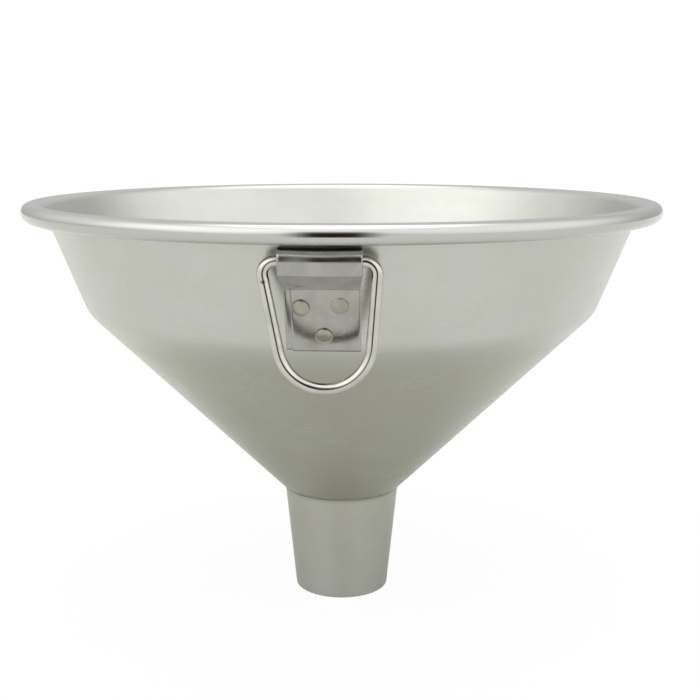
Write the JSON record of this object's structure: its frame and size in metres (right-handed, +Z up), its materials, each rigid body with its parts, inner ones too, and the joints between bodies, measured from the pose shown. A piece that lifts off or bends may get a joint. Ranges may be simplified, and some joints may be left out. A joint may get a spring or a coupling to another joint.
{
  "type": "canning funnel",
  "caption": "Wide stainless steel funnel with a rolled rim, a steep band over a cone, a short tapered spout, and a wire hanging ring held in a folded strap riveted below the rim.",
  "frame": {"origin": "centre of the spout's open end", "axes": "+Z up the funnel's axis towards the rim; the strap and the hanging ring are on the -Y side, and the ring's bar lies along X"},
  "size_m": [0.2, 0.2, 0.1312],
  "materials": {
    "bowl_steel": "satin spun stainless steel, rim polished",
    "spout_steel": "satin stainless steel",
    "bracket_steel": "polished stainless steel sheet",
    "rivet_steel": "dull, slightly warm rivet metal",
    "ring_steel": "polished stainless steel wire"
  },
  "bodies": {
    "funnel": {"funnel_bowl": "bowl_steel", "spout": "spout_steel", "ring_bracket": "bracket_steel", "rivets": "rivet_steel"},
    "ring": {"hanging_ring": "ring_steel"}
  },
  "joints": [
    {"name": "ring_swing", "type": "hinge", "parent": "funnel", "child": "ring", "pos_m": [0, -0.09308, 0.1219], "axis": [-1, 0, 0], "range_deg": [-16, 114]}
  ]
}
